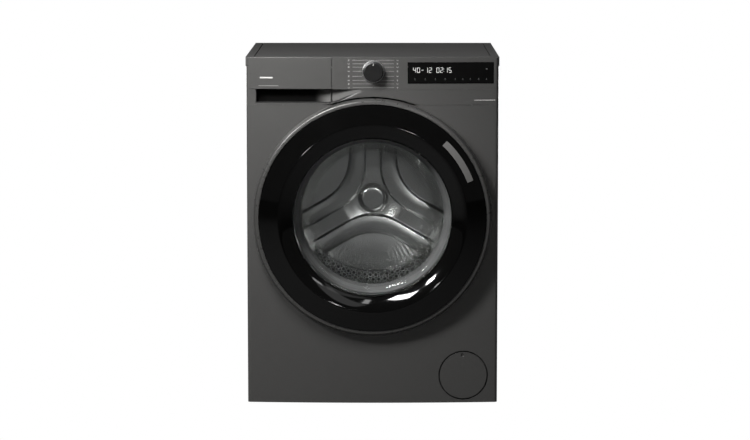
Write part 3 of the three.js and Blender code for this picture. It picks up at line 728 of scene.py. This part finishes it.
def soft_step(value, low, high):
    """0 below low, 1 above high, and a smooth rise between them."""
    t = min(1.0, max(0.0, (value - low) / (high - low)))
    return t * t * (3 - 2 * t)


def soft_min(a, b, width):
    """The smaller of two values, with a fillet where they cross."""
    h = max(width - abs(a - b), 0.0) / width
    return min(a, b) - h * h * width * 0.25


# ------------ outside
def front_panel():
    """The painted front with its door opening, the latch's slot and the filter's opening."""
    face = bowed_sheet(-HALF, HALF, LIFT, SPLIT_Z - 0.4, 1.2)
    front = piece("front_sheet", *face, "steel_paint", "cabinet", "painted_steel", ["front_panel"], 12.0)
    x, z, r = FILTER
    mouth = round_cutter(MOUTH_R, -30.0, 12.0, (0.0, AXIS_Z))
    filter_hole = round_cutter(r + 1.3, -30.0, 12.0, (x, z), 96)
    latch_slot = cutter(*box_mesh(200.0, 230.0, -20.0, 10.0, AXIS_Z + 46.0, AXIS_Z + 72.0))
    carve(front, [mouth, filter_hole, latch_slot], angle=12.0)


def arch_bottom(x):
    """Height of the control panel's lower edge, which climbs over the door and runs out in a fillet."""
    fillet = 7.0
    arch = AXIS_Z + math.sqrt(max(0.0, ARCH_R**2 - x * x))
    return -soft_min(-arch, -SPLIT_Z, fillet)


def recess_depth(x, z):
    """How far the drawer's grip is pressed in: deep at its left end, and running out to the right."""
    x0, x1, z0, z1 = RECESS
    shallower_from, climbs_from, blurred_at, climb = -135.0, -112.0, -60.0, 26.0
    floor = RECESS_DEPTH * (1 - soft_step(x, shallower_from, x1)) ** 1.2
    left = soft_step(x, x0 - 0.4, x0 + 0.4)
    top = 1 - soft_step(z, z1 - 0.1, z1 + 0.5)
    base = z0 + climb * soft_step(x, climbs_from, x1) ** 1.2
    blur = soft_step(x, climbs_from, blurred_at)
    bottom = soft_step(z, base - 0.3 - 1.0 * blur, base + 0.3 + 3.0 * blur)
    return floor * left * top * bottom


def control_band():
    """The band under the drawer and the fascia, with the drawer's grip pressed into it. The grip's faces take
    the grip colour with its painted shade, and upward faces at its lower crease take matt black as painted
    shade.
    """
    levels = 30
    columns = []
    for x, y, nx, ny in front_line(-HALF, HALF, 1.6):
        flat = abs(x) < HALF - CORNER
        z0 = arch_bottom(x) if flat else SPLIT_Z
        points = []
        for k in range(levels):
            z = z0 + (BAND_Z - 0.25 - z0) * k / (levels - 1)
            points.append((x, y + recess_depth(x, z) if flat else y, z))
        columns.append((nx, ny, points))
    band = panel("control_band", sheet(columns, 1.6), "panel_grey", replaced=["control_panel"], angle=40.0)
    band.data.materials.append(MATS["grip"])
    band.data.materials.append(MATS["matt_black"])
    for face in band.data.polygons:
        x, y, z = face.center / MM
        if recess_depth(x, z) > 0.4 and y - FRONT_Y < bow(x) + RECESS_DEPTH + 1.0:
            # Upward faces along the grip's lower crease get matt black as painted shade; the rest of the grip
            # takes the grip colour.
            painted_shade_ledge = face.normal.z > 0.3 and x < -20.0
            face.material_index = 2 if painted_shade_ledge else 1


def control_fascia():
    """The face to the right of the drawer, open for the display, and the narrow cheek left of the drawer."""
    face = bowed_sheet(DRAWER_SEAM_X, HALF, BAND_Z, FASCIA_TOP, 2.2)
    fascia = panel("control_fascia", face, "panel_grey", replaced=["control_panel"])
    x0, x1, z0, z1 = DISPLAY
    carve(fascia, [cutter(*box_mesh(x0, x1, -30.0, 20.0, z0, z1))], angle=12.0)
    cheek = bowed_sheet(-HALF, CHEEK_X, BAND_Z, 827.0, 2.2)
    panel("control_cheek", cheek, "panel_grey", angle=30.0)


def drawer_front():
    """The drawer's face and the lip behind its lower edge."""
    seam = 0.8
    face = bowed_sheet(CHEEK_X + seam, DRAWER_SEAM_X - seam, BAND_Z + 0.5, FASCIA_TOP, 2.4)
    panel("drawer_face", face, "panel_grey", "drawer", ["drawer_front"], bevel=0.5)
    lip = bowed_sheet(-268.0, -104.0, BAND_Z + 0.5, BAND_Z + 3.0, 5.0, -2.4)
    panel("drawer_lip", lip, "panel_grey", "drawer")


def display():
    """The black pane, set slightly into the fascia."""
    x0, x1, z0, z1 = DISPLAY
    gap = 0.5
    pane = bowed_sheet(x0 + gap, x1 - gap, z0 + gap, z1 - gap, 2.0, -PANE_SET)
    piece("display_pane", *pane, "display_black", "cabinet", "gloss_black", ["display_window"], 12.0)


def strip(x0, x1, z0, z1, proud=0.12, base=0.0):
    """A thin printed mark on the front's bow."""
    return bowed_sheet(x0, x1, z0, z1, proud + 0.05, base + proud)


def lit_strip(x0, x1, z0, z1):
    """A thin mark on the display's pane."""
    return strip(x0, x1, z0, z1, 0.08, -PANE_SET)


def dial_marks():
    """Lines that end short of the knob, and small plain symbols at their ends, low and tall in turn."""
    heights = (842.7, 834.5, 826.5, 816.8, 805.0, 795.4, 787.0, 778.1)
    kx, kz, kr = KNOB
    clear, thick = 3.5, 0.7
    lines = []
    marks = []
    for i, z in enumerate(heights):
        gap = max(1.5, math.sqrt(max(0.0, (kr + clear) ** 2 - (z - kz) ** 2)))
        low, high = z - thick / 2, z + thick / 2
        lines.append(strip(-47.0, kx - gap, low, high))
        lines.append(strip(kx + gap, 51.0, low, high))
        for side, x in enumerate((-56.0, 59.0)):
            wide, tall = (1.9, 1.1) if (i + side) % 2 else (1.2, 1.7)
            marks.append(strip(x - wide, x + wide, z - tall, z - tall + 0.6))
            marks.append(strip(x - wide, x - wide + thick, z - tall + 0.9, z + tall))
            marks.append(strip(x + wide - thick, x + wide, z - tall + 0.9, z + tall))
    panel("dial_lines", merged(*lines), "print_dim")
    panel("dial_symbols", merged(*marks), "print_light")


def plain_marks():
    """A dash at the band's right end, and a bar and a thin line on the drawer."""
    panel("band_dash", strip(241.0, 292.0, 747.4, 748.6), "print_light")
    mark = merged(strip(-266.0, -236.0, 799.5, 803.0), strip(-269.0, -222.0, 781.7, 782.4))
    panel("drawer_marks", mark, "print_light", "drawer")


SEGMENTS = {"0": "abcdef", "1": "bc", "2": "abged", "4": "fgbc", "5": "afgcd", "-": "g"}


def digit(x, z, sign):
    """One seven-segment figure, as thin strips."""
    wide, tall, t, gap = 6.8, 12.4, 1.15, 0.4
    half = tall / 2
    parts = {
        "a": (x + t, x + wide - t, z + tall - t, z + tall),
        "g": (x + t, x + wide - t, z + half - t / 2, z + half + t / 2),
        "d": (x + t, x + wide - t, z, z + t),
        "f": (x, x + t, z + half + gap, z + tall - gap),
        "b": (x + wide - t, x + wide, z + half + gap, z + tall - gap),
        "e": (x, x + t, z + gap, z + half - gap),
        "c": (x + wide - t, x + wide, z + gap, z + half - gap),
    }
    return [lit_strip(*parts[name]) for name in SEGMENTS[sign]]


def display_marks():
    """A few plain figures with a colon, and a row of touch symbols."""
    figures = []
    for start, step, signs in ((96.0, 9.3, "40-12"), (151.0, 9.0, "02"), (170.6, 9.0, "15")):
        for i, sign in enumerate(signs):
            figures += digit(start + step * i, 813.0, sign)
    for z in (816.0, 821.4):
        figures.append(lit_strip(168.0, 169.1, z, z + 1.2))
    piece("time_digits", *merged(*figures), "digits", "cabinet", "gloss_black", angle=12.0)
    marks = []
    for i, x in enumerate((100.5, 124.5, 148.4, 171.5, 195.4, 213.3, 231.0, 250.6, 269.3)):
        wide = 2.2 if i % 2 else 1.6
        marks.append(lit_strip(x - wide, x + wide, 796.0, 796.8))
        marks.append(lit_strip(x - wide / 2, x + wide / 2, 798.2, 799.8))
    marks.append(lit_strip(267.4, 271.2, 820.4, 823.2))
    piece("touch_symbols", *merged(*marks), "digits_dim", "cabinet", "gloss_black", angle=12.0)


def knob():
    """The tapered knob with its pointer, and the silver ring round its foot."""
    x, z, r = KNOB
    profile = [
        (0.0, -28.0, 0),
        (3.3, -28.0, 0),
        (3.3, -13.0, 0),
        (r, -13.0, 0.5),
        (r - 0.7, -31.2, 1.6),
        (r - 3.5, -32.3, 0.8),
        (0.0, -31.5, 0),
    ]
    body = turned(rounded(profile), 96, (x, z))
    piece("knob_body", *body, "knob_black", "knob", "gloss_black", ["program_knob"])
    ring = [(r + 0.4, -15.2), (r + 1.4, -15.0), (r + 2.6, -13.2), (r + 2.6, -12.0), (r + 0.4, -12.0)]
    piece("knob_ring", *turned(ring, 96, (x, z)), "chrome", "cabinet", "gloss_black")
    ridge = box_mesh(x - 0.5, x + 0.5, -32.4, -31.0, z + r - 9.0, z + r - 3.4)
    piece("knob_pointer", *ridge, "print_light", "knob", "gloss_black", bevel=0.15)


def worktop():
    """The frame with its bowed front, and the board inside it, with a narrow moat between them."""
    side, rear, ear = 300.0, 533.0, 4.0
    low, high, moat = 828.0, 850.0, 4.0
    shoulder = HALF - CORNER - ear
    outline = [(x, bow(x) + 3.3) for x, *_ in front_line(-shoulder, shoulder, 12.0)]
    outline += [(shoulder, ear), (side, ear), (side, rear), (-side, rear), (-side, ear), (-shoulder, ear)]
    count = len(outline)
    verts = [(x, y, z) for z in (low, high) for x, y in outline]
    faces = [tuple(range(count))[::-1], tuple(range(count, 2 * count))]
    faces += [(i, (i + 1) % count, count + (i + 1) % count, count + i) for i in range(count)]
    rim = panel("worktop_frame", (verts, faces), "worktop_grey", replaced=["worktop"], angle=32.0, bevel=2.2)
    x, y0, y1, gap = 281.0, 12.0, 521.0, 2.5
    carve(rim, [cutter(*box_mesh(-x, x, y0, y1, high - moat, high + 10.0))], angle=30.0)
    board = box_mesh(gap - x, x - gap, y0 + gap, y1 - gap, high - moat - 0.5, high)
    panel("worktop_board", board, "worktop_grey", angle=32.0, bevel=0.5)


def filter_cover():
    """The round cover with its finger dimple, and a black ring behind the gap round it."""
    x, z, r = FILTER
    plate = bowed_sheet(x - 60.0, x + 60.0, z - 60.0, z + 60.0, 2.4, -0.1)
    cover = panel("filter_disc", plate, "steel_paint", "filter_lid", ["filter_cover"], 30.0, 0.5)
    outline = round_cutter(r - 2.0, -30.0, 12.0, (x, z), 96)
    dimple = round_cutter(4.2, -30.0, -3.6, (x - 2.0, z + 49.0), 32)
    carve(cover, [outline], "INTERSECT", 30.0)
    carve(cover, [dimple], angle=30.0)
    backing = bowed_sheet(x - 66.0, x + 66.0, z - 65.0, z + 66.0, 1.0, -3.2)
    seat = panel("filter_seat", backing, "matt_black", angle=30.0)
    outside = round_cutter(r + 4.5, -30.0, 16.0, (x, z), 96)
    inside = round_cutter(r - 4.0, -30.0, 16.0, (x, z), 96)
    carve(seat, [outside], "INTERSECT", 30.0)
    carve(seat, [inside], angle=30.0)


# ------------ door
def rim_depth(r):
    """Depth of the black rim's face, a flat cone that rises to its lip."""
    return -DOOR_REACH + (r - LIP_R) * RIM_SLOPE


def funnel(wall):
    """The funnel's line from the lip in to the window, a wall's thickness behind its face."""
    line = [(r + wall * math.sin(slope), depth + wall * math.cos(slope)) for r, depth, slope in funnel_line()]
    return line + [(WINDOW_R + wall, WINDOW_Y)]


def door_ring():
    """The grey ring round the door, with a notch at its left edge for the hinge."""
    ring = [
        (RING_R, -13.0, 0.3),
        (RING_R, -23.0, 9.0),
        (RING_R - 4.5, -34.5, 5.0),
        (COVER_R + 0.6, -35.4, 0.6),
        (COVER_R + 0.6, -32.8, 0),
        (RING_R - 5.8, -30.8, 2.0),
        (RING_R - 2.5, -24.0, 2.0),
        (RING_R - 2.5, -13.0, 0.3),
    ]
    body = turned(rounded(ring, 6), 192)
    hoop = piece("door_ring", *body, "ring_grey", "door", "ring_grey", ["door_outer_ring"])
    notch = cutter(*box_mesh(-295.0, -255.0, -27.5, 0.0, AXIS_Z - 42.0, AXIS_Z + 42.0))
    carve(hoop, [notch])


def door_rim():
    """The wide black rim and the funnel inside it, as one thin shell."""
    cover = [(COVER_R, -31.0), (COVER_R, -34.4)]
    cover += [(r, rim_depth(r)) for r in (COVER_R - 0.7, COVER_R - 2.2, LIP_R + 3.0, LIP_R + 1.2, LIP_R)]
    cover += funnel(0.0)[1:] + funnel(2.5)[::-1]
    cover += [(COVER_R - 3.0, -33.5), (COVER_R - 3.0, -31.0)]
    piece("door_rim", *turned(cover, 192), "rim_black", "door", "gloss_black", ["door_cover"])


def door_bowl():
    """The clear bowl that reaches into the drum."""
    bowl = [
        (0.0, 127.5, 0),
        (148.5, 126.5, 9.0),
        (160.0, 80.0, 30.0),
        (173.0, 31.5, 7.0),
        (180.0, 26.5, 3.0),
        (189.0, 26.5, 0.4),
        (189.0, 22.5, 0.4),
        (177.0, 22.5, 3.0),
        (169.5, 28.5, 5.0),
        (156.0, 78.0, 30.0),
        (145.0, 122.5, 6.0),
        (0.0, 123.5, 0),
    ]
    glass = turned(rounded(bowl, 8), 160)
    piece("door_bowl", *glass, "window_glass", "door", "window_glass", ["door_glass"])


def badge():
    """A pale curved plate on the black rim, with no lettering."""
    rim = [(r, rim_depth(r)) for r in (240.0, 255.0)]
    surface = [(r, depth - 0.2) for r, depth in rim] + [(r, depth - 1.0) for r, depth in rim[::-1]]
    plate = turned(surface, 28, start=math.radians(21.0), sweep=math.radians(25.5))
    piece("door_badge", *plate, "badge", "door", "gloss_black", angle=40.0)


def gasket():
    """The rubber seal from the front panel's opening to the tub's mouth, with its folded lip."""
    profile = [
        (205.5, -4.5, 1.0),
        (205.5, 24.0, 4.0),
        (194.0, 38.0, 4.0),
        (194.0, 60.0, 1.0),
        (190.6, 60.0, 1.0),
        (190.6, 48.0, 1.0),
        (184.0, 46.0, 1.5),
        (180.0, 58.0, 4.0),
        (172.0, 65.0, 1.4),
        (170.5, 62.0, 1.4),
        (177.0, 52.0, 6.0),
        (182.0, 38.0, 6.0),
        (202.0, 18.0, 4.0),
        (202.0, -4.5, 1.0),
    ]
    seal = turned(rounded(profile), 144)
    piece("seal", *seal, "grey_rubber", "cabinet", "grey_rubber", ["door_gasket"])


# ------------ drum
def drum_relief(r, angle):
    """Pressed relief of the drum's back, towards the front: three petals between three troughs.

    A petal is a raised band along the troughs with a lower leaf inside it. The hub is a flat dome. The value
    inside is the distance from the middle of the nearest trough.
    """
    third = 2 * math.pi / 3
    local = (angle - math.radians(30.0) + third / 2) % third - third / 2
    a, b = r * math.cos(local), r * math.sin(local)
    c, s = math.cos(math.pi / 3), math.sin(math.pi / 3)
    inside = soft_min(a * s - b * c, a * s + b * c, 67.0)
    across = min(1.0, max(0.0, (inside - TROUGH_HALF) / (LEAF_BORDER - TROUGH_HALF)))
    beyond = min(1.0, max(0.0, (inside - LEAF_BORDER) / 90.0))
    trough = 9.0 - 5.0 * (1 - soft_step(r, 38.0, 82.0))
    band = 13.0 + 1.5 * math.sin(math.pi * across)
    ribs = soft_step(r, 124.0, 150.0) * (1 - soft_step(r, 172.0, 178.0)) * math.cos(angle * 96.0)
    leaf = 9.0 + 1.5 * math.sin(math.pi * beyond) + 0.14 * ribs
    lift = trough
    lift += (band - trough) * soft_step(inside, TROUGH_HALF - 2.5, TROUGH_HALF + 2.0)
    lift += (leaf - band) * soft_step(inside, LEAF_BORDER - 2.0, LEAF_BORDER + 2.0)
    lift += 2.5 * (r / 180.0) ** 2
    lift *= 1 - soft_step(r, 181.0, 187.0)
    foot = HUB_R + 5.0
    if r < foot:
        dome = 15.0 * math.sqrt(max(0.0, 1 - (r / (HUB_R + 1.5)) ** 12))
        lift = max(lift * soft_step(r, HUB_R, foot), dome)
    return lift


def drum_back():
    """The pressed plate, out to where the holes start."""
    around = 480
    radii = [0.5, 6.0, 12.0, 18.0, 23.0, 27.0, 30.0] + [32.0 + 1.25 * k for k in range(127)]
    verts, faces = [], []
    for shift in (0.0, 1.2):
        for r in radii:
            for i in range(around):
                a = 2 * math.pi * i / around
                y = DRUM_BACK_Y - drum_relief(r, a) + shift
                verts.append((r * math.cos(a), y, AXIS_Z + r * math.sin(a)))
    half = len(radii) * around
    for k in range(len(radii) - 1):
        for i in range(around):
            j = (i + 1) % around
            a, b, c, d = k * around + i, k * around + j, (k + 1) * around + j, (k + 1) * around + i
            faces += [(a, b, c, d), (a + half, d + half, c + half, b + half)]
    outer = (len(radii) - 1) * around
    for i in range(around):
        j = (i + 1) % around
        faces.append((outer + i, outer + j, outer + j + half, outer + i + half))
    faces.append(tuple(range(around)))
    faces.append(tuple(half + i for i in reversed(range(around))))
    drum_piece("drum_star", (verts, faces), ["drum_back"], 60.0)


def perforated(place, columns, rows, hole, thickness):
    """A sheet with a staggered grid of round holes.

    A cell is 1 wide and 1 high, and hole is a radius on that scale. place maps a column, a row and a distance
    through the sheet to a point.
    """
    sides = 10
    verts, faces = [], []
    for row in range(rows):
        shift = 0.5 * (row % 2)
        for column in range(columns):
            base = len(verts)
            for layer in (0.0, thickness):
                for k in range(sides):
                    a = 2 * math.pi * (k + 0.5) / sides
                    u, v = math.cos(a), math.sin(a)
                    far = 0.5 / max(abs(u), abs(v))
                    verts.append(place(column + 0.5 + shift + u * hole, row + 0.5 + v * hole, layer))
                    verts.append(place(column + 0.5 + shift + u * far, row + 0.5 + v * far, layer))
            for k in range(sides):
                a, b = base + 2 * k, base + 2 * ((k + 1) % sides)
                c, d = a + 2 * sides, b + 2 * sides
                faces += [(a, a + 1, b + 1, b), (c, d, d + 1, c + 1), (a, b, d, c)]
    return verts, faces


def annulus():
    """The flat rim of the drum's back, with four rows of holes."""
    columns, rows, inner, outer = 88, 4, 189.5, 238.6

    def place(column, row, layer):
        a = 2 * math.pi * column / columns
        r = inner + (outer - inner) * row / rows
        return (r * math.cos(a), DRUM_BACK_Y + layer, AXIS_Z + r * math.sin(a))

    drum_piece("drum_rim", perforated(place, columns, rows, 0.25, 1.2))


def drum_wall():
    """The perforated cylinder between two plain bands, and the rolled lip at its mouth."""
    columns, rows, front, back = 96, 18, 94.0, 366.0

    def place(column, row, layer):
        a = 2 * math.pi * column / columns
        r = DRUM_R + layer
        return (r * math.cos(a), front + (back - front) * row / rows, AXIS_Z + r * math.sin(a))

    drum_piece("drum_holes", perforated(place, columns, rows, 0.16, 1.3))
    outside = DRUM_R + 1.4
    lip = [
        (outside, front, 0),
        (outside, 78.1, 3.0),
        (176.0, 78.1, 3.0),
        (174.0, 70.1, 0.8),
        (172.0, 70.1, 0.8),
        (174.0, 79.6, 3.0),
        (DRUM_R, 79.6, 3.0),
        (DRUM_R, front, 0),
    ]
    drum_piece("drum_lip", turned(rounded(lip), 144), ["drum_shell"], 50.0)
    hem = [(DRUM_R, back), (outside, back), (outside, 386.0), (DRUM_R, 386.0)]
    drum_piece("drum_hem", turned(hem, 144), angle=32.0)


def ridge(section, stations, turn):
    """A lifter's mesh at a turn in degrees. A station is a depth and the share of the full height there."""
    a = math.radians(turn)
    c, s = math.cos(a), math.sin(a)
    verts, faces = [], []
    for y, grow in stations:
        for u, v in section:
            x = u * (0.86 + 0.14 * grow)
            z = LIFTER_FOOT - (LIFTER_FOOT - v) * grow
            verts.append((x * c + z * s, y, AXIS_Z - x * s + z * c))
    count = len(section)
    last = (len(stations) - 1) * count
    for base in range(0, last, count):
        for k in range(count):
            m = (k + 1) % count
            faces.append((base + k, base + m, base + count + m, base + count + k))
    faces.append(tuple(range(count)))
    faces.append(tuple(last + k for k in reversed(range(count))))
    return verts, faces


def lifters():
    """Three pressed ridges along the drum's wall, rounded at their ends."""
    section = [
        (-49.0, LIFTER_FOOT, 0),
        (-29.0, 189.0, 14.0),
        (-16.0, 174.6, 10.0),
        (16.0, 174.6, 10.0),
        (29.0, 189.0, 14.0),
        (49.0, LIFTER_FOOT, 0),
    ]
    section = rounded(section, 6, closed=False)
    stations = [(92.5, 0.0), (94.0, 0.45), (98.0, 0.78), (106.0, 0.97), (116.0, 1.0), (352.0, 1.0)]
    stations += [(364.0, 0.97), (371.0, 0.78), (374.6, 0.45), (375.8, 0.0)]
    for number, turn in enumerate((0.0, 120.0, 240.0), 1):
        drum_piece(f"lifter_{number}", ridge(section, stations, turn), [f"drum_lifter_{number}"])


# ------------ back
def buttons(spots, outline, steps, sides):
    """Round heads on the back, as one mesh. A spot is x, z and the depth that the outline starts from."""
    heads = []
    for x, z, seat in spots:
        profile = [(r, seat + out, blend) for r, out, blend in outline]
        heads.append(turned(rounded(profile, steps), sides, (x, z)))
    return merged(*heads)


def rear_details():
    """Screws round the rear panel and its cover, and the caps over the transit bolt holes."""
    on_panel, on_cover = 531.5, 532.8
    screws = [(x, z, on_panel) for x in (-284.0, 284.0) for z in (60.0, 300.0, 560.0, 800.0)]
    screws += [(x, 816.0, on_panel) for x in (-150.0, 0.0, 150.0)]
    screws += [(176.0 * math.cos(a), AXIS_Z + 176.0 * math.sin(a), on_cover) for a in (0.8, 2.3, 3.9, 5.5)]
    head = [(0.0, 0.0, 0), (4.4, 0.0, 0), (4.2, 1.6, 0.6), (0.0, 1.9, 0)]
    piece("rear_screws", *buttons(screws, head, 2, 16), "zinc", "cabinet", "steel", angle=40.0)
    caps = [(x, z, on_panel + 0.1) for z in (250.0, 700.0) for x in (-190.0, 190.0)]
    cap = [(0.0, 0.0, 0), (15.0, 0.0, 0), (14.0, 4.4, 1.5), (0.0, 5.0, 0)]
    piece("transit_caps", *buttons(caps, cap, 3, 32), "matt_black", "cabinet", "matte_black", angle=40.0)


camera()
ground()
backdrop()
lights()
paint_nodes()
front_panel()
control_band()
control_fascia()
drawer_front()
display()
dial_marks()
plain_marks()
display_marks()
knob()
worktop()
filter_cover()
door_ring()
door_rim()
door_bowl()
badge()
gasket()
drum_back()
annulus()
drum_wall()
lifters()
rear_details()

scene.view_settings.view_transform = "Standard"
